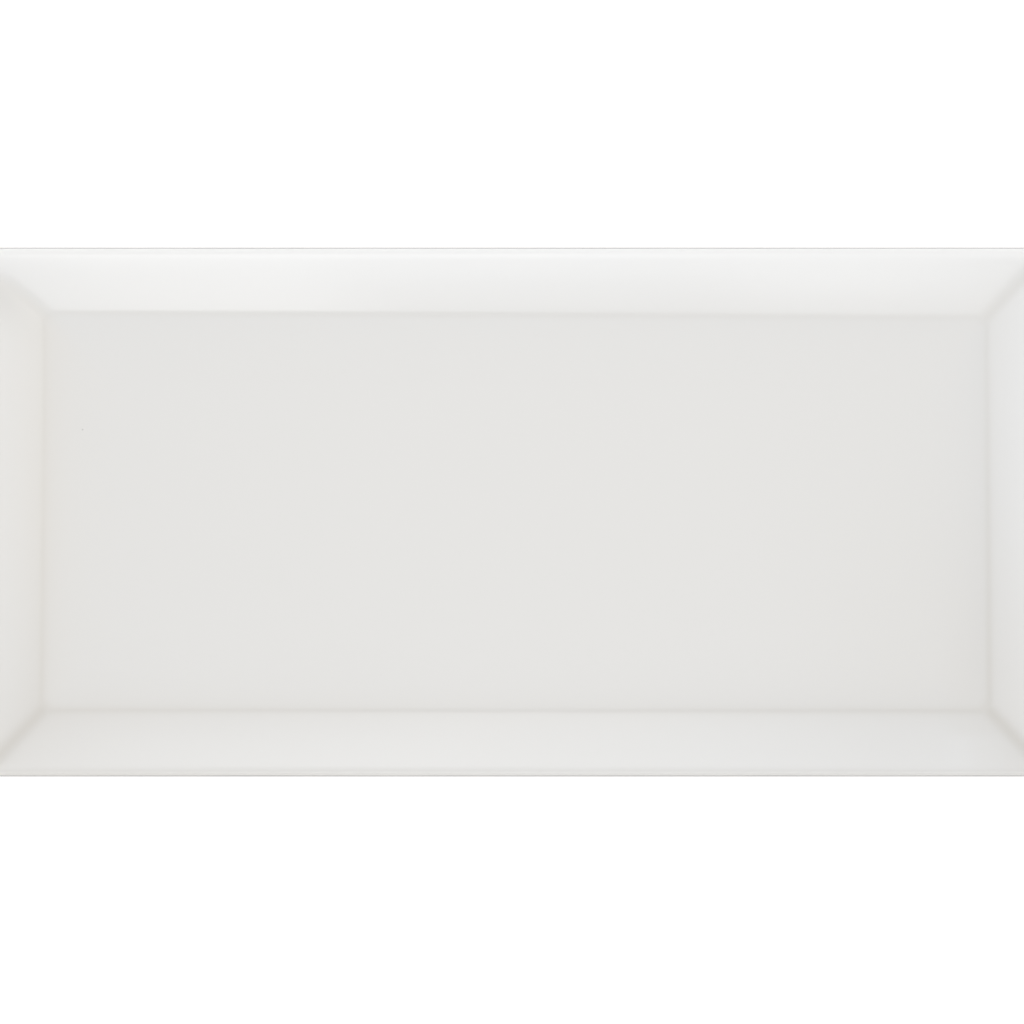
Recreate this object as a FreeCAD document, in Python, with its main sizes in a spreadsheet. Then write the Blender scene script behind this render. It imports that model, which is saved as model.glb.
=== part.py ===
import FreeCAD, Part
import os
import Sketcher

# A bevelled subway wall tile, lying face up.
# The origin is the middle of the back: +X runs along the tile and +Z points out of its face.
# Lengths are in millimetres and angles in degrees.

NODE = "wall_tile"

# alias, value, what it measures
SIZES = [
    ("tile_length", 150.0, "overall length"),
    ("tile_width", 74.0, "overall width"),
    ("face_height", 8.0, "thickness at the raised flat face"),
    ("rim_height", 4.9, "height at which a bevel's plane meets the wall's plane"),
    ("bevel_width", 9.4, "width of each bevel in plan, from the wall to the arris"),
    ("arris_radius", 3.0, "rounding of the arrises round the flat face and of the mitres"),
    ("rim_radius", 1.5, "rounding where the bevels meet the walls, and down the four corners"),
    ("back_chamfer", 0.6, "chamfer round the edge of the back"),
    ("back_band", 6.6, "plain band round the keyed field of the back"),
    ("key_columns", 12, "recesses along the tile"),
    ("key_rows", 6, "recesses across the tile"),
    ("key_rib", 2.0, "land between two recesses, at the back face"),
    ("key_depth", 0.5, "depth of a recess"),
    ("key_draft", 30.0, "slope of a recess's walls, from the direction of pressing"),
]

# The recesses share out the field inside the plain band, with a rib between each two.
KEY_LENGTH = (
    "(Sizes.tile_length - 2 * Sizes.back_band - (Sizes.key_columns - 1) * Sizes.key_rib)"
    " / Sizes.key_columns"
)
KEY_WIDTH = (
    "(Sizes.tile_width - 2 * Sizes.back_band - (Sizes.key_rows - 1) * Sizes.key_rib)"
    " / Sizes.key_rows"
)

# An edge whose extent along an axis is under this runs square to that axis.
NO_EXTENT = 0.001

# The recesses may cut this share less or more than their own volume, for rounding in the sums.
VOLUME_SHARE = 0.001

# How a constraint names its sketch's own origin.
ORIGIN = (-1, 1)


def make_sizes(doc):
    """Writes the driving sizes into a sheet, one a row, each under its alias."""
    sheet = doc.addObject("Spreadsheet::Sheet", "Sizes")
    for row, (alias, value, meaning) in enumerate(SIZES, start=1):
        sheet.set(f"A{row}", meaning)
        sheet.set(f"B{row}", str(value))
        sheet.setAlias(f"B{row}", alias)
    doc.recompute()
    return sheet


def origin_plane(body, role):
    """Finds one of the body's own origin planes."""
    plane = next(item for item in body.Origin.OriginFeatures if item.Role == role)
    return (plane, [""])


def make_sketch(body, name, role):
    """Starts a sketch on an origin plane."""
    sketch = body.newObject("Sketcher::SketchObject", name)
    sketch.AttachmentSupport = origin_plane(body, role)
    sketch.MapMode = "FlatFace"
    return sketch


def start_of(line):
    """How a constraint names the point where a line starts."""
    return (line, 1)


def end_of(line):
    """How a constraint names the point where a line ends."""
    return (line, 2)


def draw_loop(sketch, corners):
    """Joins the corners with lines, in turn and back to the first, and says how many there are."""
    points = [FreeCAD.Vector(x, y, 0) for x, y in corners]
    count = len(points)
    for number, point in enumerate(points):
        sketch.addGeometry(Part.LineSegment(point, points[(number + 1) % count]))
    for number in range(count):
        following = (number + 1) % count
        joint = Sketcher.Constraint("Coincident", *end_of(number), *start_of(following))
        sketch.addConstraint(joint)
    return count


def measure(sketch, kind, name, first, second, expression):
    """Sets the level or upright distance between two points to a sum of driving sizes."""
    distance = sketch.evalExpression(expression)
    index = sketch.addConstraint(Sketcher.Constraint(kind, *first, *second, distance))
    sketch.renameConstraint(index, name)
    sketch.setExpression(f"Constraints.{name}", expression)


def draw_long_section(body, sheet):
    """The section along the tile: flat back, upright end walls, a bevel at each end, flat face."""
    sketch = make_sketch(body, "LongSection", "XZ_Plane")
    half_length = sheet.tile_length / 2
    face_end = half_length - sheet.bevel_width
    draw_loop(sketch, [
        (-half_length, 0),
        (half_length, 0),
        (half_length, sheet.rim_height),
        (face_end, sheet.face_height),
        (-face_end, sheet.face_height),
        (-half_length, sheet.rim_height),
    ])
    back, right_wall, right_bevel, face, left_bevel, left_wall = range(6)
    for line in (back, face):
        sketch.addConstraint(Sketcher.Constraint("Horizontal", line))
    for line in (right_wall, left_wall):
        sketch.addConstraint(Sketcher.Constraint("Vertical", line))
    centred = Sketcher.Constraint("Symmetric", *start_of(back), *end_of(back), *ORIGIN)
    sketch.addConstraint(centred)
    sketch.addConstraint(Sketcher.Constraint("Equal", right_wall, left_wall))
    sketch.addConstraint(Sketcher.Constraint("Equal", right_bevel, left_bevel))
    measure(sketch, "DistanceX", "Length", start_of(back), end_of(back), "Sizes.tile_length")
    measure(sketch, "DistanceY", "Rim", end_of(back), end_of(right_wall), "Sizes.rim_height")
    measure(sketch, "DistanceY", "Face", end_of(back), start_of(face), "Sizes.face_height")
    measure(
        sketch, "DistanceX", "Bevel", end_of(right_bevel), start_of(right_bevel), "Sizes.bevel_width")
    return sketch


def draw_side_wedge(body, sheet):
    """What the bevel along one long side takes off, seen along the tile."""
    sketch = make_sketch(body, "SideWedge", "YZ_Plane")
    half_width = sheet.tile_width / 2
    draw_loop(sketch, [
        (half_width, sheet.rim_height),
        (half_width, sheet.face_height),
        (half_width - sheet.bevel_width, sheet.face_height),
    ])
    wall, top = 0, 1
    sketch.addConstraint(Sketcher.Constraint("Vertical", wall))
    sketch.addConstraint(Sketcher.Constraint("Horizontal", top))
    measure(sketch, "DistanceX", "Side", ORIGIN, start_of(wall), "Sizes.tile_width / 2")
    measure(sketch, "DistanceY", "Rim", ORIGIN, start_of(wall), "Sizes.rim_height")
    measure(sketch, "DistanceY", "Face", ORIGIN, end_of(wall), "Sizes.face_height")
    measure(sketch, "DistanceX", "Bevel", end_of(top), start_of(top), "Sizes.bevel_width")
    return sketch


def make_bevelled_block(body, sheet):
    """The tile with sharp edges: four bevels that meet in mitres and rise to the flat face."""
    block = body.newObject("PartDesign::Pad", "EndBevelledBlock")
    block.Profile = draw_long_section(body, sheet)
    block.Midplane = True
    block.setExpression("Length", "Sizes.tile_width")

    bevel = body.newObject("PartDesign::Pocket", "SideBevel")
    bevel.Profile = draw_side_wedge(body, sheet)
    bevel.Type = "ThroughAll"
    bevel.Midplane = True

    both = body.newObject("PartDesign::Mirrored", "SideBevels")
    both.Originals = [bevel]
    both.MirrorPlane = origin_plane(body, "XZ_Plane")
    body.Tip = both
    body.Document.recompute()
    return both


def edges_where(shape, rule):
    """Names the edges whose bounding boxes fit the rule."""
    return [f"Edge{number}" for number, edge in enumerate(shape.Edges, start=1) if rule(edge.BoundBox)]


def is_level(box, height):
    """Whether an edge lies level at this height."""
    return max(abs(box.ZMin - height), abs(box.ZMax - height)) < NO_EXTENT


def is_mitre(box):
    """Whether an edge climbs a corner, where two bevels meet."""
    return min(box.XLength, box.YLength, box.ZLength) > NO_EXTENT


def is_upright(box):
    """Whether an edge stands at a corner, where two walls meet."""
    return box.ZLength > NO_EXTENT and max(box.XLength, box.YLength) < NO_EXTENT


def round_edges(body, name, base, rule, radius):
    """Rounds the edges that fit the rule, to one radius."""
    fillet = body.newObject("PartDesign::Fillet", name)
    fillet.Base = (base, edges_where(base.Shape, rule))
    fillet.setExpression("Radius", radius)
    body.Document.recompute()
    return fillet


def round_face(body, sheet, base):
    """Softens the arrises round the flat face and the mitres that run down from its corners."""
    def rule(box):
        return is_level(box, sheet.face_height) or is_mitre(box)
    return round_edges(body, "FaceRounding", base, rule, "Sizes.arris_radius")


def round_rim(body, sheet, base):
    """Rounds the bevels over into the walls, and the walls into each other."""
    def rule(box):
        return is_level(box, sheet.rim_height) or is_upright(box)
    return round_edges(body, "RimRounding", base, rule, "Sizes.rim_radius")


def chamfer_back(body, base):
    """Breaks the edge all round the back."""
    chamfer = body.newObject("PartDesign::Chamfer", "BackChamfer")
    chamfer.Base = (base, edges_where(base.Shape, lambda box: is_level(box, 0)))
    chamfer.setExpression("Size", "Sizes.back_chamfer")
    body.Document.recompute()
    return chamfer


def draw_key(body, sheet):
    """The mouth of the first recess, in the corner of the field at -X and -Y."""
    sketch = make_sketch(body, "KeyMouth", "XY_Plane")
    sketch.setExpression(
        "AttachmentOffset.Base.x", f"Sizes.back_band + {KEY_LENGTH} / 2 - Sizes.tile_length / 2")
    sketch.setExpression(
        "AttachmentOffset.Base.y", f"Sizes.back_band + {KEY_WIDTH} / 2 - Sizes.tile_width / 2")
    half_length = sketch.evalExpression(KEY_LENGTH) / 2
    half_width = sketch.evalExpression(KEY_WIDTH) / 2
    draw_loop(sketch, [
        (-half_length, -half_width),
        (half_length, -half_width),
        (half_length, half_width),
        (-half_length, half_width),
    ])
    lower, right, upper, left = range(4)
    for side in (lower, upper):
        sketch.addConstraint(Sketcher.Constraint("Horizontal", side))
    for side in (right, left):
        sketch.addConstraint(Sketcher.Constraint("Vertical", side))
    centred = Sketcher.Constraint("Symmetric", *start_of(lower), *start_of(upper), *ORIGIN)
    sketch.addConstraint(centred)
    measure(sketch, "DistanceX", "Length", start_of(lower), end_of(lower), KEY_LENGTH)
    measure(sketch, "DistanceY", "Width", start_of(right), end_of(right), KEY_WIDTH)
    return sketch


def make_row(body, name, mouth, axis, size, count):
    """One direction of the grid: each recess lies its own size and one rib from the last."""
    row = body.newObject("PartDesign::LinearPattern", name)
    row.Direction = (mouth, [axis])
    row.Mode = "Spacing"
    row.setExpression("Offset", f"{size} + Sizes.key_rib")
    row.setExpression("Occurrences", count)
    return row


def key_back(body, sheet, base):
    """Presses the grid of shallow drafted recesses that the adhesive grips."""
    mouth = draw_key(body, sheet)
    key = body.newObject("PartDesign::Pocket", "Key")
    key.Profile = mouth
    key.Reversed = True
    key.setExpression("Length", "Sizes.key_depth")
    key.setExpression("TaperAngle", "-Sizes.key_draft")

    along = make_row(body, "KeysAlong", mouth, "H_Axis", KEY_LENGTH, "Sizes.key_columns")
    across = make_row(body, "KeysAcross", mouth, "V_Axis", KEY_WIDTH, "Sizes.key_rows")
    grid = body.newObject("PartDesign::MultiTransform", "Keys")
    grid.Originals = [key]
    grid.Transformations = [along, across]
    body.Tip = grid
    body.Document.recompute()

    # A pocket that pointed out of the tile would cut nothing and show no error.
    expected = key.AddSubShape.Volume * sheet.key_columns * sheet.key_rows
    removed = base.Shape.Volume - grid.Shape.Volume
    if abs(removed - expected) > VOLUME_SHARE * expected:
        raise RuntimeError(f"the recesses took {removed:.1f} mm3 and not {expected:.1f}")


def make_tile(doc, sheet):
    """The whole tile, pressed, glazed and fired as one piece."""
    body = doc.addObject("PartDesign::Body", "Tile")
    body.Label = NODE
    block = make_bevelled_block(body, sheet)
    soft_face = round_face(body, sheet, block)
    soft_rim = round_rim(body, sheet, soft_face)
    chamfered = chamfer_back(body, soft_rim)
    key_back(body, sheet, chamfered)
    return body


def check_model(doc, body):
    """Stops before anything is written if a step has failed or the tile isn't one sound solid."""
    for item in doc.Objects:
        if "Invalid" in item.State or "Error" in item.State:
            raise RuntimeError(f"{item.Name} is {item.State}")
    shape = body.Shape
    if shape.isNull() or not shape.isValid() or len(shape.Solids) != 1:
        raise RuntimeError(f"{body.Label} isn't one valid solid")


def main():
    doc = FreeCAD.newDocument("SubwayWallTile")
    sheet = make_sizes(doc)
    body = make_tile(doc, sheet)
    doc.recompute()
    check_model(doc, body)
    os.makedirs("parts", exist_ok=True)
    body.Shape.exportStep(f"parts/{body.Label}.step")


main()
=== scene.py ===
import math

import bpy
import numpy as np
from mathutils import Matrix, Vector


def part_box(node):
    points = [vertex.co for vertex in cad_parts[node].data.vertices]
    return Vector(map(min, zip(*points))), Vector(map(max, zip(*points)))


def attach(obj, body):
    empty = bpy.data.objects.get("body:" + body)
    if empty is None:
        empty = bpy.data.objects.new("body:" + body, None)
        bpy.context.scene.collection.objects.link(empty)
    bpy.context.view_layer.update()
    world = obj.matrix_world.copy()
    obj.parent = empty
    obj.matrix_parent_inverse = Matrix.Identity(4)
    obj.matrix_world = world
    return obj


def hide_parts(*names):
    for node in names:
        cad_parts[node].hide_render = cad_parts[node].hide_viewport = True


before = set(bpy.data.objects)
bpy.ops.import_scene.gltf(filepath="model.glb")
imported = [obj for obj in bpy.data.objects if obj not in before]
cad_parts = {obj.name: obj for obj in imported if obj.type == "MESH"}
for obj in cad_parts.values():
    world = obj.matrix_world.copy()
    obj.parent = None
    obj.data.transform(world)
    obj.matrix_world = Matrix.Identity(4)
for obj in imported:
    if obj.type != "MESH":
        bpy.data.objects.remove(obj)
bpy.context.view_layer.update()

# Lengths are in millimetres and angles in degrees, unless a comment says otherwise.
MM = 0.001
TINY = 1e-9
WHITE = (1, 1, 1, 1)
NODE = "wall_tile"

LOW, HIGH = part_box(NODE)
HALF_LENGTH = (HIGH[0] - LOW[0]) / 2 / MM
HALF_WIDTH = (HIGH[1] - LOW[1]) / 2 / MM
FACE_HEIGHT = HIGH[2] / MM

# The section across a bevel: its slopes, the steeper shoulder by the rim, the band over which it turns at
# the arris, and the faint cushion of the face.
BEVEL_WIDTH = 9.4
RIM_RADIUS = 1.5
BEVEL_SLOPE_AT_RIM = 19.6
BEVEL_SLOPE_AT_ARRIS = 16.0
SHOULDER_SLOPE = 6.0
SHOULDER_WIDTH = 1.0
ARRIS_BAND = 1.2
CUSHION_SLOPE = 0.5
CUSHION_REACH = 5.0
SECTION_STEPS = 6000

# Corner radii in plan: of the outline, and of the mitres further up the bevels. Then how far in the one has
# passed into the other, and how many rounds the sum takes.
WALL_CORNER = 1.5
MITRE_CORNER = 1.7
MITRE_BLEND = 1.5
INSET_ROUNDS = 5

# Width of the end bevel and of the side bevel at each corner of the face, by the corner's signs, and how
# far in from the outline they have their full effect.
CORNER_BEVELS = {
    (-1, 1): (9.66, 9.28),
    (1, 1): (9.65, 9.97),
    (1, -1): (9.16, 9.4),
    (-1, -1): (9.11, 9.5),
}
WIDTH_BLEND = 3.0

# How far the mitre at each corner bows away from a straight line, towards the short end. Then how broad the
# bow is across the mitre, how far in from the outline it is widest, and how soon it fades beyond.
MITRE_BOW = {(-1, 1): 2.4, (1, 1): 0.0, (1, -1): 0.0, (-1, -1): 0.0}
BOW_WIDTH = 5.0
BOW_WIDEST = 2.7
BOW_REACH = 2.2

# The back: chamfer, plain band and pressed recesses with softened edges.
BACK_CHAMFER = 0.6
BACK_BAND = 6.6
KEY_COLUMNS = 12
KEY_ROWS = 6
KEY_RIB = 2.0
KEY_DEPTH = 0.5
KEY_DRAFT = 30.0
KEY_CORNER = 1.0
KEY_SOFTENING = 0.1

# The glaze stops in a slightly wavy line on the rim, with a small bead, and the clay below is bare.
GLAZE_LINE = 0.185
GLAZE_WAVE = 0.008
GLAZE_BEAD = 0.02
GLAZE_BEAD_WIDTH = 0.05
WAVE_LENGTHS = (61, 37, 23, 15)
WAVE_FADE = 5.0
SEED = 7

# Mesh lines from the outline inwards: how many lie over the bare strip, the rest of the rim, the bevel,
# the arris and half the face, how they crowd outwards, and how far the arris lines reach.
BARE_LINES = 5
RIM_LINES = 8
BEVEL_LINES = 26
ARRIS_LINES = 15
FACE_LINES_ALONG = 29
FACE_LINES_ACROSS = 15
BARE_CROWDING = 2.0
RIM_CROWDING = 1.2
FACE_CROWDING = 1.6
ARRIS_LINES_BEFORE = 0.9
ARRIS_LINES_BEYOND = 1.3

# Mesh lines down the wall and round the chamfer, as shares of the way, and their distances in from a
# recess's edge, with a margin round all the recesses.
WALL_LINES = (0.1, 0.5, 0.9, 1.0)
CHAMFER_LINES = (0.12, 0.5, 0.88, 1.0)
KEY_LINES = (0.0, 0.08, 0.16, 0.24, 0.32, 0.4, 0.6, 0.95)
KEY_MARGIN = 0.2

# How strongly painted shade greys the bare clay at the glaze, as a dark outline, and how far in from the
# outline it has become so.
OUTLINE_SHADE = 1.35
OUTLINE_SHADE_START = 0.05

# How far the glaze has drawn back, together with painted shade, from 0 to 1: from each arris, at its -X
# or -Y end, middle and other end, from each mitre, by the signs of its corner, and over the rim, which is
# painted shade only. Then how wide each of them is.
THIN_AND_SHADE_ON_ARRIS = {
    "left": (0.5, 0.2, 0.1),
    "right": (0.9, 0.5, 0.15),
    "lower": (0.5, 0.0, 0.6),
    "upper": (0.3, 0.25, 0.25),
}
THIN_AND_SHADE_ON_MITRE = {(-1, 1): 0.15, (1, 1): 0.4, (1, -1): 1.0, (-1, -1): 0.7}
PAINTED_SHADE_ON_RIM = {
    "left": (0, 0, 0),
    "right": (0, 0, 0),
    "lower": (0.8, 0.8, 0.8),
    "upper": (0, 0, 0),
}
THIN_AND_SHADE_ARRIS_WIDTH = 0.6
THIN_AND_SHADE_MITRE_WIDTH = 0.85
PAINTED_SHADE_RIM_WIDTH = 0.35

# The warmer tone and painted shade beside them in the same way, and how far they reach.
WARM_AND_SHADE_AT_ARRIS = {
    "left": (0.65, 0.45, 0.25),
    "right": (0.9, 0.6, 0.3),
    "lower": (0.6, 0.5, 0.7),
    "upper": (0.05, 0.1, 0.15),
}
WARM_AND_SHADE_AT_MITRE = {(-1, 1): 0.1, (1, 1): 0.25, (1, -1): 0.8, (-1, -1): 0.9}
WARM_AND_SHADE_AT_RIM = {
    "left": (0, 0, 0),
    "right": (0, 0, 0),
    "lower": (1.0, 0.5, 1.0),
    "upper": (0, 0, 0),
}
WARM_AND_SHADE_REACH_ON_BEVEL = 2.4
WARM_AND_SHADE_REACH_ON_FACE = {
    "left": (1.9, 1.9, 1.9),
    "right": (3.0, 2.6, 1.9),
    "lower": (2.4, 1.9, 3.2),
    "upper": (1.9, 1.9, 1.9),
}
WARM_AND_SHADE_REACH_ON_END = {(-1, 1): 1.4, (1, 1): 2.2, (1, -1): 3.6, (-1, -1): 3.2}
WARM_AND_SHADE_REACH_ON_SIDE = {(-1, 1): 2.2, (1, 1): 2.2, (1, -1): 2.4, (-1, -1): 2.8}
WARM_AND_SHADE_REACH_ON_RIM = 0.9

# Painted shade in the same warm tone, spread towards the two lower corners: the side along X, the amount
# (below 0 takes some of it back), and the start and reach along X and Y.
PAINTED_SHADE_AT_LOWER_CORNERS = [
    (1, 0.38, 25, 50, 20, 45),
    (1, 0.6, 57, 9, 5, 40),
    (1, -0.3, 50, 15, -28.0, 2.5),
    (1, -0.8, 58, 6, -30.0, 2.0),
    (1, 0.45, 66, 4, -30.0, 2.0),
    (-1, 0.23, 45, 25, 0, 35),
]

# The painted colour of the light, cooler (above 0) or warmer (below 0), by side as above: on the bevel's
# outer edge, at the arris, and how far it reaches over the face.
PAINTED_LIGHT_OUTER = {
    "left": (0.0, -0.3, -0.3),
    "right": (0.8, 0.8, 0.8),
    "lower": (0.0, 0.3, 0.9),
    "upper": (0.6, 1.0, 0.8),
}
PAINTED_LIGHT_AT_ARRIS = {
    "left": (0.0, -1.0, -0.8),
    "right": (1.0, 1.0, 0.8),
    "lower": (0.0, 0.2, 0.9),
    "upper": (0.3, 0.4, 0.4),
}
PAINTED_LIGHT_REACH_ON_FACE = 4.0

# How gradually the thin glaze and its painted shade, the warm tone and its painted shade, the painted
# shade of the rim and the painted colour of the light pass from one side to the next across a mitre, and
# where the tones of a mitre begin at the rim and end at the arris.
THIN_AND_SHADE_TURN = 3.0
WARM_AND_SHADE_TURN = 6.0
RIM_TURN = 2.0
PAINTED_LIGHT_TURN = 4.0
MITRE_TONE_START = 2.5
MITRE_TONE_END = 0.6

# A tiny dark speck under the glaze: its place, and its radii where it is full and where it ends.
SPECK = (-60.17, 11.45, 8.0)
SPECK_INNER = 0.05
SPECK_OUTER = 0.17

# The glaze: its colours, the warmer one carrying painted shade, what they are multiplied by for the
# painted colour of the light and where the glaze is thin with painted shade, and its fine relief.
# The scales of all noises are in cells per metre.
GLAZE_COLOUR = (0.806, 0.798, 0.780, 1)
WARM_SHADED_GLAZE_COLOUR = (0.747, 0.728, 0.696, 1)
WARM_PAINTED_LIGHT = (1.014, 1.002, 0.984, 1)
COOL_PAINTED_LIGHT = (0.986, 0.998, 1.016, 1)
THIN_AND_SHADED_GLAZE = (0.935, 0.925, 0.905, 1)
SPECK_COLOUR = (0.62, 0.61, 0.59, 1)
GLAZE_IOR = 1.5
PEEL_SCALE = 450.0
PEEL_STRENGTH = 0.15
PEEL_DEPTH = 0.02
GLOSS_SCALE = 60.0
GLOSS_DETAIL = 3.0
GLOSS_ROUGHNESS = (0.07, 0.1)
CLOUD_RANGE = (0.3, 0.7)

# The bare clay: its two tones, the shade of its grain, its pits with painted shade in them, the painted
# shade of its outline, and its relief.
CLAY_DEEP = (0.66, 0.595, 0.50, 1)
CLAY_PALE = (0.76, 0.705, 0.61, 1)
GRAIN_SHADE = (0.9, 0.89, 0.87, 1)
PIT_SHADE_COLOUR = (0.46, 0.40, 0.32, 1)
OUTLINE_SHADE_COLOUR = (0.435, 0.432, 0.44, 1)
CLAY_CLOUD_SCALE = 45.0
CLAY_DETAIL = 4.0
GRAIN_SCALE = 1800.0
GRAIN_RANGE = (0.35, 0.65)
PIT_SCALE = 700.0
PIT_RANGE = (0.22, 0.1)
PIT_GROUP_SCALE = 260.0
PIT_GROUP_RANGE = (0.5, 0.6)
PIT_SINK = -0.8
OUTLINE_SHADE_SCALE = 280.0
OUTLINE_SHADE_UNEVEN = 1.6
OUTLINE_SHADE_RANGE = (0.3, 1.0)
CLAY_ROUGHNESS = 0.85
CLAY_RELIEF = 0.6
CLAY_RELIEF_DEPTH = 0.06

# The light all round: strengths by azimuth, for soft bands at two elevations.
RING_ELEVATION = 40
RING_FADE = 12
RING = {0: 1.52, 45: 0.0, 90: 1.53, 135: 0.0, 180: 0.82, 225: 0.0, 270: 0.99, 315: 0.0}
LOW_ELEVATION = 16
LOW_FADE = 18
LOW_RING = {0: 0.0, 45: 0.96, 90: 2.38, 135: 0.78, 180: 0.0, 225: 0.0, 270: 2.1, 315: 0.4}
AMBIENT = 0.58

# Softboxes: azimuth, half width, elevation, half height and strength, and the softness of their edges.
SOFTBOXES = [
    (90, 10, 45, 12, 2.02),
    (270, 10, 51, 8, 1.74),
    (168, 9, 45, 12, 1.46),
    (12, 9, 45, 12, 1.08),
]
SOFTBOX_EDGE = 5
SOFTBOX_SIDE_EDGE = 8

# Brighter and darker patches in the light from +Y and -Y: azimuth, half width, elevation, half height,
# soft edge and strength.
PATCHES = [
    (97.0, 3.5, 42, 5.5, 0.7, 0.86),
    (97.3, 3.3, 52, 5.0, 0.6, 0.78),
    (88.9, 5.1, 56.7, 5.5, 0.9, -0.8),
    (82.0, 3.0, 49.5, 3.5, 1.5, 0.83),
    (102.5, 1.8, 42, 8.0, 1.0, -0.8),
    (-96.0, 4.5, 47.8, 3.7, 1.2, 0.35),
]

# Overhead panels: how far towards +X and +Y, the inner and outer edge of the fade, and strength.
PANELS = [(0, 0, 2, 9, 0.47), (-5, 4, 1, 8, 0.11), (5, 4, 1, 8, 0.13)]

# The floor: half its size in metres, its colour and how brightly it glows.
FLOOR_HALF = 6.0
FLOOR_COLOUR = (0.35, 0.35, 0.35, 1)
FLOOR_ROUGHNESS = 0.9
FLOOR_GLOW = 0.8

# The camera: the width of the picture at the tile's outline, and the camera's place over the tile.
VIEW_WIDTH = 143.288
CAMERA_X = -0.55
CAMERA_Y = 0.0095
LENS = 135
SENSOR_WIDTH = 36


def smooth(t):
    """An S-curve from 0 to 1."""
    t = np.clip(t, 0.0, 1.0)
    return t * t * (3 - 2 * t)


def bell(distance, width):
    """1 at no distance, falling off to both sides."""
    return np.exp(-(distance / width) ** 2)


def bevel_section():
    """Height against distance from the wall: rim arc, bevel, arris, and a faintly cushioned face."""
    slope_out = math.radians(BEVEL_SLOPE_AT_RIM + SHOULDER_SLOPE)
    rim_end = RIM_RADIUS * (1 - math.sin(slope_out))
    distance = np.linspace(rim_end, HALF_WIDTH, SECTION_STEPS)
    along = np.clip((distance - rim_end) / (BEVEL_WIDTH - rim_end), 0, 1)
    shoulder = SHOULDER_SLOPE * (1 - smooth((distance - rim_end) / SHOULDER_WIDTH))
    slope_down = BEVEL_SLOPE_AT_RIM + (BEVEL_SLOPE_AT_ARRIS - BEVEL_SLOPE_AT_RIM) * along + shoulder
    bevel = np.tan(np.radians(slope_down))
    past = distance - BEVEL_WIDTH
    cushion = math.tan(math.radians(CUSHION_SLOPE)) * np.exp(-np.clip(past, 0, None) / CUSHION_REACH)
    share = 1 - smooth(past / ARRIS_BAND + 0.5)
    slope = cushion + (bevel - cushion) * share
    rise = np.concatenate([[0], np.cumsum((slope[1:] + slope[:-1]) / 2 * np.diff(distance))])
    height = FACE_HEIGHT - rise[-1] + rise
    rim_centre = height[0] - RIM_RADIUS * math.cos(slope_out)

    def section(d):
        arc = rim_centre + np.sqrt(np.clip(RIM_RADIUS**2 - (RIM_RADIUS - d)**2, 0, None))
        bead = GLAZE_BEAD * bell(d - GLAZE_LINE, GLAZE_BEAD_WIDTH)
        return np.where(d < rim_end, arc + bead, np.interp(d, distance, height))

    return section, rim_end, rim_centre


SECTION, RIM_END, WALL_TOP = bevel_section()


def lines_between(start, end, count, crowding=1.0):
    """Places of mesh lines after a start and up to an end, crowded towards the start."""
    return start + (end - start) * np.linspace(0, 1, count + 1)[1:] ** crowding


def grid_lines(half, face_lines):
    """Places of the mesh lines across the tile, close together over the rim, bevels and arrises."""
    arris_start = BEVEL_WIDTH - ARRIS_LINES_BEFORE
    arris_end = BEVEL_WIDTH + ARRIS_LINES_BEYOND
    inward = np.concatenate([
        [0.0],
        lines_between(0.0, GLAZE_LINE, BARE_LINES, BARE_CROWDING),
        lines_between(GLAZE_LINE, RIM_END, RIM_LINES, RIM_CROWDING),
        lines_between(RIM_END, arris_start, BEVEL_LINES),
        lines_between(arris_start, arris_end, ARRIS_LINES),
        lines_between(arris_end, half, face_lines, FACE_CROWDING),
    ])
    return np.concatenate([inward - half, (half - inward[:-1])[::-1]])


def round_corners(a, b):
    """Bends the mesh lines near a square corner into arcs."""
    s = np.clip(1 - a / WALL_CORNER, 0, 1)
    t = np.clip(1 - b / WALL_CORNER, 0, 1)
    radius = np.maximum(s, t)
    turn = np.where(s >= t, t, 2 * radius - s) / np.maximum(radius, TINY) * math.pi / 4
    inside = (s > 0) & (t > 0)
    round_a = WALL_CORNER * (1 - radius * np.cos(turn))
    round_b = WALL_CORNER * (1 - radius * np.sin(turn))
    return np.where(inside, round_a, a), np.where(inside, round_b, b)


def wave(place, side):
    """A gentle irregular wave along a side of the tile, mostly between -1 and 1."""
    random = np.random.default_rng(SEED + side)
    value = np.zeros_like(place)
    for length in WAVE_LENGTHS:
        value += np.sin(2 * math.pi * place / length + random.uniform(0, 2 * math.pi)) / 2
    return value


def wavy_line(a, b, x, y):
    """Moves the mesh lines on the rim in and out a little, so that the glaze stops in a wavy line."""
    def shift(distance, place, side, corner):
        near = distance / GLAZE_LINE * np.exp(1 - distance / GLAZE_LINE)
        return GLAZE_WAVE * near * wave(place, side) * smooth((corner - WALL_CORNER) / WAVE_FADE)

    shift_a = np.where(x < 0, shift(a, y, 0, b), shift(a, y, 1, b))
    shift_b = np.where(y < 0, shift(b, x, 2, a), shift(b, x, 3, a))
    return a + shift_a, b + shift_b


def inset(a, b):
    """Distance in from the outline, whose corners stay round as it shrinks."""
    d = np.minimum(a, b)
    for _ in range(INSET_ROUNDS):
        radius = MITRE_CORNER + (WALL_CORNER - MITRE_CORNER) * (1 - smooth(d / MITRE_BLEND))
        across = a - b
        turn = (a + b + np.sqrt(np.clip(2 * radius**2 - across**2, 0, None))) / 2 - radius
        d = np.where(np.abs(across) < radius, turn, np.minimum(a, b))
        d = np.clip(d, 0, None)
    return d


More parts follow.
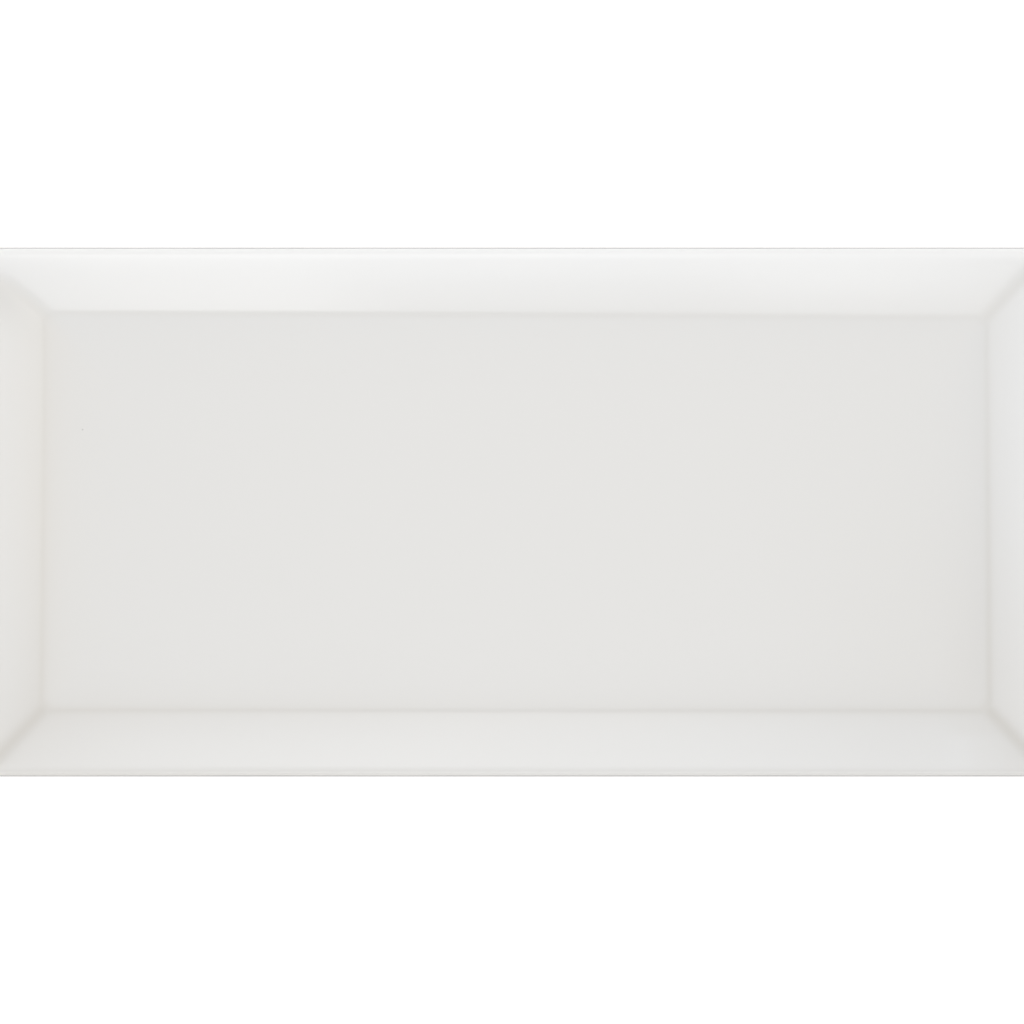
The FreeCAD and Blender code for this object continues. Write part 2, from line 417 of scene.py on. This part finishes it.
def bevel_widths(x, y):
    """Widths of the nearest end bevel and side bevel, which differ a little from corner to corner."""
    right = (x / HALF_LENGTH + 1) / 2
    upper = (y / HALF_WIDTH + 1) / 2

    def end(sign):
        return CORNER_BEVELS[(sign, -1)][0] * (1 - upper) + CORNER_BEVELS[(sign, 1)][0] * upper

    def side(sign):
        return CORNER_BEVELS[(-1, sign)][1] * (1 - right) + CORNER_BEVELS[(1, sign)][1] * right

    return np.where(x < 0, end(-1), end(1)), np.where(y < 0, side(-1), side(1))


def by_side(values, x, y, a, b, turn):
    """A value that runs along each side, blended across the mitres."""
    def along(place, name):
        return np.interp(place, (-1, 0, 1), values[name])

    end = np.where(x < 0, along(y / HALF_WIDTH, "left"), along(y / HALF_WIDTH, "right"))
    side = np.where(y < 0, along(x / HALF_LENGTH, "lower"), along(x / HALF_LENGTH, "upper"))
    share = smooth(0.5 + (b - a) / turn)
    return end * share + side * (1 - share)


def by_corner(values, x, y):
    """The value of the nearest corner."""
    upper = np.where(x < 0, values[(-1, 1)], values[(1, 1)])
    lower = np.where(x < 0, values[(-1, -1)], values[(1, -1)])
    return np.where(y < 0, lower, upper)


def glaze_tones(x, y, a, b, d):
    """Thinned glaze with painted shade, the warm tone with painted shade, and the painted colour of light.
    """
    past = d - BEVEL_WIDTH
    off_mitre = np.abs(a - b) / math.sqrt(2)
    on_bevel = (1 - smooth((past + MITRE_TONE_END) / MITRE_TONE_END / 2)) * smooth(d / MITRE_TONE_START)

    # Thin glaze with painted shade on the arrises and mitres, and painted shade alone on the lower rim.
    arris = by_side(THIN_AND_SHADE_ON_ARRIS, x, y, a, b, THIN_AND_SHADE_TURN) * bell(past, THIN_AND_SHADE_ARRIS_WIDTH)
    mitre = by_corner(THIN_AND_SHADE_ON_MITRE, x, y) * bell(off_mitre, THIN_AND_SHADE_MITRE_WIDTH) * on_bevel
    rim = by_side(PAINTED_SHADE_ON_RIM, x, y, a, b, RIM_TURN) * bell(d, PAINTED_SHADE_RIM_WIDTH)
    thin_and_shaded = np.maximum(np.maximum(arris, mitre), rim)

    face_reach = by_side(WARM_AND_SHADE_REACH_ON_FACE, x, y, a, b, WARM_AND_SHADE_TURN)
    reach = np.where(past < 0, WARM_AND_SHADE_REACH_ON_BEVEL, face_reach)
    # Warm tone with painted shade beside the arrises, mitres and rim, and painted shade towards the lower
    # corners.
    light = 1 - by_side(WARM_AND_SHADE_AT_ARRIS, x, y, a, b, WARM_AND_SHADE_TURN) * np.exp(-np.abs(past) / reach)
    reach = np.where(a < b, by_corner(WARM_AND_SHADE_REACH_ON_END, x, y), by_corner(WARM_AND_SHADE_REACH_ON_SIDE, x, y))
    light *= 1 - by_corner(WARM_AND_SHADE_AT_MITRE, x, y) * np.exp(-off_mitre / reach) * on_bevel
    light *= 1 - by_side(WARM_AND_SHADE_AT_RIM, x, y, a, b, RIM_TURN) * bell(d, WARM_AND_SHADE_REACH_ON_RIM)
    for side, amount, x_start, x_reach, y_start, y_reach in PAINTED_SHADE_AT_LOWER_CORNERS:
        light *= 1 - amount * smooth((side * x - x_start) / x_reach) * smooth((y_start - y) / y_reach)

    # Painted colour of the light: cooler on the upper and right bevels, where the light falls, warmer on the
    # left.
    outer = by_side(PAINTED_LIGHT_OUTER, x, y, a, b, PAINTED_LIGHT_TURN)
    inner = by_side(PAINTED_LIGHT_AT_ARRIS, x, y, a, b, PAINTED_LIGHT_TURN)
    painted_light_tint = outer + (inner - outer) * smooth(d / BEVEL_WIDTH)
    painted_light_tint *= np.exp(-np.clip(past, 0, None) / PAINTED_LIGHT_REACH_ON_FACE)
    return {"thin_glaze_and_shade": thin_and_shaded, "warm_glaze_and_shade": 1 - light, "painted_light_tint": painted_light_tint}


def top_surface():
    """The top as a grid of points, with the tones of the glaze, its painted shade and painted light at each.
    """
    xs = grid_lines(HALF_LENGTH, FACE_LINES_ALONG)
    ys = grid_lines(HALF_WIDTH, FACE_LINES_ACROSS)
    u, v = np.meshgrid(xs, ys, indexing="ij")
    a, b = wavy_line(HALF_LENGTH - np.abs(u), HALF_WIDTH - np.abs(v), u, v)
    a, b = round_corners(a, b)
    x = np.sign(u) * (HALF_LENGTH - a)
    y = np.sign(v) * (HALF_WIDTH - b)
    end_width, side_width = bevel_widths(x, y)
    blend = smooth(np.minimum(a, b) / WIDTH_BLEND)
    a = a * (1 + (BEVEL_WIDTH / end_width - 1) * blend)
    b = b * (1 + (BEVEL_WIDTH / side_width - 1) * blend)
    bow = by_corner(MITRE_BOW, x, y) * bell(a - b, BOW_WIDTH)
    depth = np.minimum(a, b)
    a = a + bow * smooth(depth / BOW_WIDEST) * np.exp(-np.clip(depth - BOW_WIDEST, 0, None) / BOW_REACH)
    d = inset(a, b)
    tones = glaze_tones(x, y, a, b, d)
    # Painted shade of the outline: a grey band on the bare clay strip at the glaze's edge, fading down the
    # wall.
    tones["painted_outline_shade"] = OUTLINE_SHADE * smooth(d / OUTLINE_SHADE_START)
    return np.stack([x, y, SECTION(d)], axis=-1), tones


def grid_faces(first, columns, rows, flip):
    """Quads of a grid whose points are numbered column by column."""
    start = first + np.arange(columns - 1)[:, None] * rows + np.arange(rows - 1)[None, :]
    start = start.ravel()
    quads = np.stack([start, start + rows, start + rows + 1, start + 1], axis=1)
    return quads[:, ::-1] if flip else quads


def grid_border(first, columns, rows):
    """The border of such a grid, once round, counter-clockwise from the corner at -X and -Y."""
    def number(i, j):
        return first + i * rows + j

    lower = [number(i, 0) for i in range(columns - 1)]
    right = [number(columns - 1, j) for j in range(rows - 1)]
    upper = [number(i, rows - 1) for i in range(columns - 1, 0, -1)]
    left = [number(0, j) for j in range(rows - 1, 0, -1)]
    return np.array(lower + right + upper + left)


def outward(points):
    """Which way the wall faces at each point of the outline."""
    x = points[:, 0]
    y = points[:, 1]
    dx = np.sign(x) * np.clip(np.abs(x) - (HALF_LENGTH - WALL_CORNER), 0, None)
    dy = np.sign(y) * np.clip(np.abs(y) - (HALF_WIDTH - WALL_CORNER), 0, None)
    length = np.hypot(dx, dy)
    return np.stack([dx / length, dy / length], axis=1)


def wall_rings(outline):
    """Rings of points down the wall and round the chamfer at its foot."""
    facing = outward(outline)
    levels = [(0.0, WALL_TOP + (BACK_CHAMFER - WALL_TOP) * share) for share in WALL_LINES]
    levels += [(BACK_CHAMFER * share, BACK_CHAMFER * (1 - share)) for share in CHAMFER_LINES]
    rings = []
    for inward, height in levels:
        plan = outline[:, :2] - facing * inward
        rings.append(np.column_stack([plan, np.full(len(outline), height)]))
    return rings


def key_lines(half, count):
    """Mesh lines across the keyed field, close together at the recesses' walls, and a recess's size."""
    size = (2 * (half - BACK_BAND) - (count - 1) * KEY_RIB) / count
    steps = np.array(KEY_LINES)
    places = [-half + BACK_BAND - KEY_MARGIN]
    for number in range(count):
        low = -half + BACK_BAND + number * (size + KEY_RIB)
        places += list(low + steps) + list(low + size - steps[::-1])
        if number < count - 1:
            places.append(low + size + KEY_RIB / 2)
    places.append(half - BACK_BAND + KEY_MARGIN)
    return np.array(places), size


def back_surface():
    """The keyed field of the back as a grid of points."""
    xs, length = key_lines(HALF_LENGTH, KEY_COLUMNS)
    ys, width = key_lines(HALF_WIDTH, KEY_ROWS)
    x, y = np.meshgrid(xs, ys, indexing="ij")

    def into(place, half, size):
        pitch = size + KEY_RIB
        low = place + half - BACK_BAND
        number = np.clip(np.round((low - size / 2) / pitch), 0, None)
        return size / 2 - np.abs(low - size / 2 - number * pitch)

    a = into(x, HALF_LENGTH, length)
    b = into(y, HALF_WIDTH, width)
    beyond = np.hypot(np.clip(KEY_CORNER - a, 0, None), np.clip(KEY_CORNER - b, 0, None))
    inside = np.where((a < KEY_CORNER) & (b < KEY_CORNER), KEY_CORNER - beyond, np.minimum(a, b))
    run = KEY_DEPTH * math.tan(math.radians(KEY_DRAFT)) + KEY_SOFTENING
    z = KEY_DEPTH * smooth(inside / run)
    return np.stack([x, y, z], axis=-1)


def round_trip(points, columns, rows):
    """Where each point of a grid's border lies on its way round, from 0 to 4 back at the start."""
    closed = np.vstack([points, points[:1]])
    corners = [0, columns - 1, columns + rows - 2, 2 * columns + rows - 3, len(points)]
    place = np.zeros(len(closed))
    for side in range(4):
        part = slice(corners[side], corners[side + 1] + 1)
        way = closed[part, side % 2]
        place[part] = side + (way - way[0]) / (way[-1] - way[0])
    return place


def stitch(outer, inner, places_out, places_in):
    """Joins two loops with a strip of triangles that faces down."""
    triangles = []
    i = j = 0
    while i < len(outer) or j < len(inner):
        take_outer = j >= len(inner) or (i < len(outer) and places_out[i + 1] <= places_in[j + 1])
        here_out = outer[i % len(outer)]
        here_in = inner[j % len(inner)]
        if take_outer:
            i += 1
            triangles.append((here_out, here_in, outer[i % len(outer)]))
        else:
            j += 1
            triangles.append((here_out, here_in, inner[j % len(inner)]))
    return triangles


def bare_rim(columns, rows):
    """Which quads of the top lie outside the glaze's edge."""
    i, j = np.meshgrid(np.arange(columns - 1), np.arange(rows - 1), indexing="ij")
    near_end = np.minimum(i, columns - 2 - i) < BARE_LINES
    near_side = np.minimum(j, rows - 2 - j) < BARE_LINES
    return (near_end | near_side).ravel()


def link(name, mesh):
    """Puts a mesh or a camera into the scene as an object."""
    thing = bpy.data.objects.new(name, mesh)
    bpy.context.scene.collection.objects.link(thing)
    return thing


def make_tile():
    """The tile as one closed mesh, glazed above and bare below."""
    top, tones = top_surface()
    columns, rows = top.shape[:2]
    points = [top.reshape(-1, 3)]
    faces = grid_faces(0, columns, rows, flip=False).tolist()
    materials = bare_rim(columns, rows).astype(int).tolist()

    above = grid_border(0, columns, rows)
    first = columns * rows
    for ring in wall_rings(points[0][above]):
        points.append(ring)
        below = first + np.arange(len(ring))
        faces += np.stack([above, below, np.roll(below, -1), np.roll(above, -1)], axis=1).tolist()
        above = below
        first += len(ring)

    back = back_surface()
    back_columns, back_rows = back.shape[:2]
    points.append(back.reshape(-1, 3))
    faces += grid_faces(first, back_columns, back_rows, flip=True).tolist()
    field = grid_border(first, back_columns, back_rows)
    all_points = np.concatenate(points)
    foot_places = round_trip(all_points[above], columns, rows)
    field_places = round_trip(all_points[field], back_columns, back_rows)
    faces += stitch(above, field, foot_places, field_places)
    materials += [1] * (len(faces) - len(materials))

    mesh = bpy.data.meshes.new("tile")
    mesh.from_pydata((all_points * MM).tolist(), [], faces)
    mesh.polygons.foreach_set("material_index", materials)
    mesh.polygons.foreach_set("use_smooth", [True] * len(faces))
    for name, tone in tones.items():
        values = np.zeros(len(all_points))
        values[:tone.size] = tone.ravel()
        mesh.attributes.new(name, "FLOAT", "POINT").data.foreach_set("value", values)
    mesh.update()
    return link("glazed_tile", mesh)


class Nodes:
    """A short way to add shader nodes and join them."""

    def __init__(self, tree):
        self.tree = tree
        tree.nodes.clear()

    def feed(self, socket, value):
        """Links a node's output to a socket, or sets the socket to a plain value."""
        if isinstance(value, bpy.types.NodeSocket):
            self.tree.links.new(value, socket)
        else:
            socket.default_value = value

    def add(self, kind, inputs, **settings):
        node = self.tree.nodes.new(kind)
        for name, value in settings.items():
            setattr(node, name, value)
        for name, value in inputs.items():
            self.feed(node.inputs[name], value)
        return node

    def coordinates(self, kind):
        return self.add("ShaderNodeTexCoord", {}).outputs[kind]

    def attribute(self, name):
        return self.add("ShaderNodeAttribute", {}, attribute_name=name).outputs["Fac"]

    def noise(self, place, scale, detail=2.0):
        node = self.add("ShaderNodeTexNoise", {"Vector": place, "Scale": scale, "Detail": detail})
        return node.outputs["Fac"]

    def bump(self, height, strength, depth):
        node = self.add("ShaderNodeBump", {"Height": height, "Strength": strength, "Distance": depth * MM})
        return node.outputs["Normal"]

    def math(self, operation, *values):
        return self.add("ShaderNodeMath", dict(enumerate(values)), operation=operation).outputs[0]

    def distance(self, place, point):
        node = self.add("ShaderNodeVectorMath", {0: place, 1: point}, operation="DISTANCE")
        return node.outputs["Value"]

    def remap(self, value, start, end, first=0.0, last=1.0, shape="LINEAR"):
        """A value scaled from one range to another, and held at its ends."""
        node = self.add("ShaderNodeMapRange", {
            "Value": value,
            "From Min": start,
            "From Max": end,
            "To Min": first,
            "To Max": last,
        }, interpolation_type=shape)
        return node.outputs["Result"]

    def mix(self, share, first, second, blend_type="MIX"):
        """A mix of two colours, whose sockets are numbers 6, 7 and 2 of the node."""
        inputs = {0: share, 6: first, 7: second}
        return self.add("ShaderNodeMix", inputs, data_type="RGBA", blend_type=blend_type).outputs[2]

    def surface(self, **inputs):
        """The material's shader, with its sockets' names written with underscores."""
        sockets = {name.replace("_", " "): value for name, value in inputs.items()}
        shader = self.add("ShaderNodeBsdfPrincipled", sockets)
        self.add("ShaderNodeOutputMaterial", {"Surface": shader.outputs["BSDF"]})


def new_material(name):
    """An empty material, and a way to add its nodes."""
    material = bpy.data.materials.new(name)
    material.use_nodes = True
    return material, Nodes(material.node_tree)


def glaze_material():
    """White gloss glaze: thinned and warm at edges, painted shade and light, a faint orange-peel surface."""
    material, nodes = new_material("white_gloss_glaze")
    place = nodes.coordinates("Object")
    # Warm tone with painted shade by the edges and towards the lower corners.
    colour = nodes.mix(nodes.attribute("warm_glaze_and_shade"), GLAZE_COLOUR, WARM_SHADED_GLAZE_COLOUR)
    # Painted colour of the light, cooler on some sides and warmer on others.
    share = nodes.math("MULTIPLY_ADD", nodes.attribute("painted_light_tint"), 0.5, 0.5)
    colour = nodes.mix(1.0, colour, nodes.mix(share, WARM_PAINTED_LIGHT, COOL_PAINTED_LIGHT), "MULTIPLY")
    # Thinned glaze darkened further by painted shade.
    drawn_back_and_shaded = nodes.mix(nodes.attribute("thin_glaze_and_shade"), WHITE, THIN_AND_SHADED_GLAZE)
    colour = nodes.mix(1.0, colour, drawn_back_and_shaded, "MULTIPLY")
    off_speck = nodes.distance(place, [part * MM for part in SPECK])
    spot = nodes.remap(off_speck, SPECK_INNER * MM, SPECK_OUTER * MM, 1.0, 0.0)
    colour = nodes.mix(spot, colour, SPECK_COLOUR)
    nodes.surface(
        Base_Color=colour,
        Roughness=nodes.remap(nodes.noise(place, GLOSS_SCALE, GLOSS_DETAIL), *CLOUD_RANGE, *GLOSS_ROUGHNESS),
        Normal=nodes.bump(nodes.noise(place, PEEL_SCALE), PEEL_STRENGTH, PEEL_DEPTH),
        IOR=GLAZE_IOR,
    )
    return material


def clay_material():
    """Bare fired clay of back and walls: pale, dry, grained, pitted; painted shade in the pits and at the
    glaze.
    """
    material, nodes = new_material("bare_fired_clay")
    place = nodes.coordinates("Object")
    grain = nodes.noise(place, GRAIN_SCALE, CLAY_DETAIL)
    cloud = nodes.noise(place, CLAY_CLOUD_SCALE, CLAY_DETAIL)
    tone = nodes.mix(nodes.remap(cloud, *CLOUD_RANGE), CLAY_DEEP, CLAY_PALE)
    shaded = nodes.mix(1.0, tone, GRAIN_SHADE, "MULTIPLY")
    colour = nodes.mix(nodes.remap(grain, *GRAIN_RANGE), shaded, tone)
    cells = nodes.add("ShaderNodeTexVoronoi", {"Vector": place, "Scale": PIT_SCALE}).outputs["Distance"]
    grouped = nodes.remap(nodes.noise(place, PIT_GROUP_SCALE), *PIT_GROUP_RANGE)
    pit = nodes.math("MULTIPLY", nodes.remap(cells, *PIT_RANGE), grouped)
    # Painted shade in the pits: they are darker where they sink.
    colour = nodes.mix(pit, colour, PIT_SHADE_COLOUR)
    # Painted shade of the outline on the clay at the glaze's edge, made uneven by noise.
    uneven = nodes.noise(place, OUTLINE_SHADE_SCALE, CLAY_DETAIL)
    shift = nodes.math("MULTIPLY_ADD", uneven, OUTLINE_SHADE_UNEVEN, -OUTLINE_SHADE_UNEVEN / 2)
    outline_shaded = nodes.remap(nodes.math("ADD", nodes.attribute("painted_outline_shade"), shift), *OUTLINE_SHADE_RANGE)
    nodes.surface(
        Base_Color=nodes.mix(outline_shaded, colour, OUTLINE_SHADE_COLOUR),
        Roughness=CLAY_ROUGHNESS,
        Normal=nodes.bump(nodes.math("MULTIPLY_ADD", pit, PIT_SINK, grain), CLAY_RELIEF, CLAY_RELIEF_DEPTH),
    )
    return material


def ramp_around(nodes, azimuth, stops):
    """A strength that runs through (azimuth, strength) stops once round the tile."""
    strongest = max(strength for _, strength in stops)
    stops = sorted(((degrees + 180) % 360, strength) for degrees, strength in stops)
    first, last = stops[0], stops[-1]
    seam = first[1] + (last[1] - first[1]) * first[0] / (first[0] + 360 - last[0])
    ramp = nodes.add("ShaderNodeValToRGB", {"Fac": azimuth})
    elements = ramp.color_ramp.elements
    elements[0].position = 0.0
    elements[1].position = 1.0
    elements[0].color = elements[1].color = (seam / strongest,) * 3 + (1,)
    for degrees, strength in stops:
        if degrees > 0:
            elements.new(degrees / 360).color = (strength / strongest,) * 3 + (1,)
    return nodes.math("MULTIPLY", ramp.outputs["Color"], strongest)


def soft_band(nodes, angle, centre, inner, outer, strength=1.0, shape="SMOOTHSTEP"):
    """A strength near an angle, which falls to 0 between two distances from it."""
    off = nodes.math("ABSOLUTE", nodes.math("SUBTRACT", angle, math.radians(centre)))
    return nodes.remap(off, math.radians(inner), math.radians(outer), strength, 0.0, shape)


def softbox(nodes, elevation, azimuth, half_width, middle, half_height, strength):
    """One softbox: its soft band of elevations and its strengths by azimuth."""
    height = soft_band(nodes, elevation, middle, half_height - SOFTBOX_EDGE, half_height + SOFTBOX_EDGE)
    inner = half_width - SOFTBOX_SIDE_EDGE
    outer = half_width + SOFTBOX_SIDE_EDGE
    stops = [(azimuth + off, strength) for off in (-inner, inner)]
    stops += [(azimuth + off, 0.0) for off in (-outer, outer)]
    return height, stops


def make_light():
    """Plain soft light all round, brighter overhead and in softboxes on each side."""
    world = bpy.data.worlds.new("soft_studio")
    bpy.context.scene.world = world
    world.use_nodes = True
    nodes = Nodes(world.node_tree)
    way = nodes.coordinates("Generated")
    parts = nodes.add("ShaderNodeSeparateXYZ", {"Vector": way}).outputs
    elevation = nodes.math("ARCSINE", parts["Z"])
    turn = nodes.math("ARCTAN2", parts["Y"], parts["X"])
    azimuth = nodes.math("MULTIPLY_ADD", turn, 0.5 / math.pi, 0.5)
    lights = [
        (soft_band(nodes, elevation, RING_ELEVATION, 0, RING_FADE), list(RING.items())),
        (soft_band(nodes, elevation, LOW_ELEVATION, 0, LOW_FADE), list(LOW_RING.items())),
    ]
    lights += [softbox(nodes, elevation, *settings) for settings in SOFTBOXES]
    total = AMBIENT
    for height, stops in lights:
        total = nodes.math("MULTIPLY_ADD", height, ramp_around(nodes, azimuth, stops), total)
    for middle, half_width, centre, half_height, edge, strength in PATCHES:
        height = soft_band(nodes, elevation, centre, half_height - edge, half_height + edge)
        width = soft_band(nodes, turn, middle, half_width - edge, half_width + edge, strength, "LINEAR")
        total = nodes.math("MULTIPLY_ADD", height, width, total)
    for x, y, inner, outer, strength in PANELS:
        off = nodes.distance(way, (math.sin(math.radians(x)), math.sin(math.radians(y)), 1.0))
        edges = (math.sin(math.radians(inner)), math.sin(math.radians(outer)))
        total = nodes.math("ADD", nodes.remap(off, *edges, strength, 0.0, "SMOOTHSTEP"), total)
    sky = nodes.add("ShaderNodeBackground", {"Color": WHITE, "Strength": total})
    nodes.add("ShaderNodeOutputWorld", {"Surface": sky.outputs["Background"]})


def make_floor():
    """A plain floor with a glow of its own, which reads as white from above."""
    material, nodes = new_material("white_floor")
    nodes.surface(
        Base_Color=FLOOR_COLOUR,
        Roughness=FLOOR_ROUGHNESS,
        Specular_IOR_Level=0.0,
        Emission_Color=WHITE,
        Emission_Strength=FLOOR_GLOW,
    )
    signs = [(-1, -1), (1, -1), (1, 1), (-1, 1)]
    mesh = bpy.data.meshes.new("floor")
    mesh.from_pydata([(x * FLOOR_HALF, y * FLOOR_HALF, 0) for x, y in signs], [], [(0, 1, 2, 3)])
    mesh.materials.append(material)
    floor = link("floor", mesh)


def make_camera():
    """Straight above the tile, close enough that the photo's sides cut both of its ends off."""
    camera = bpy.data.cameras.new("camera")
    camera.lens = LENS
    camera.sensor_width = SENSOR_WIDTH
    holder = link("camera", camera)
    height = WALL_TOP + VIEW_WIDTH * LENS / SENSOR_WIDTH
    holder.location = (CAMERA_X * MM, CAMERA_Y * MM, height * MM)
    bpy.context.scene.camera = holder


make_camera()
make_light()
make_floor()
bpy.context.scene.view_settings.view_transform = "Standard"

tile = make_tile()
tile.data.materials.append(glaze_material())
tile.data.materials.append(clay_material())
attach(tile, "root")
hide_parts(NODE)
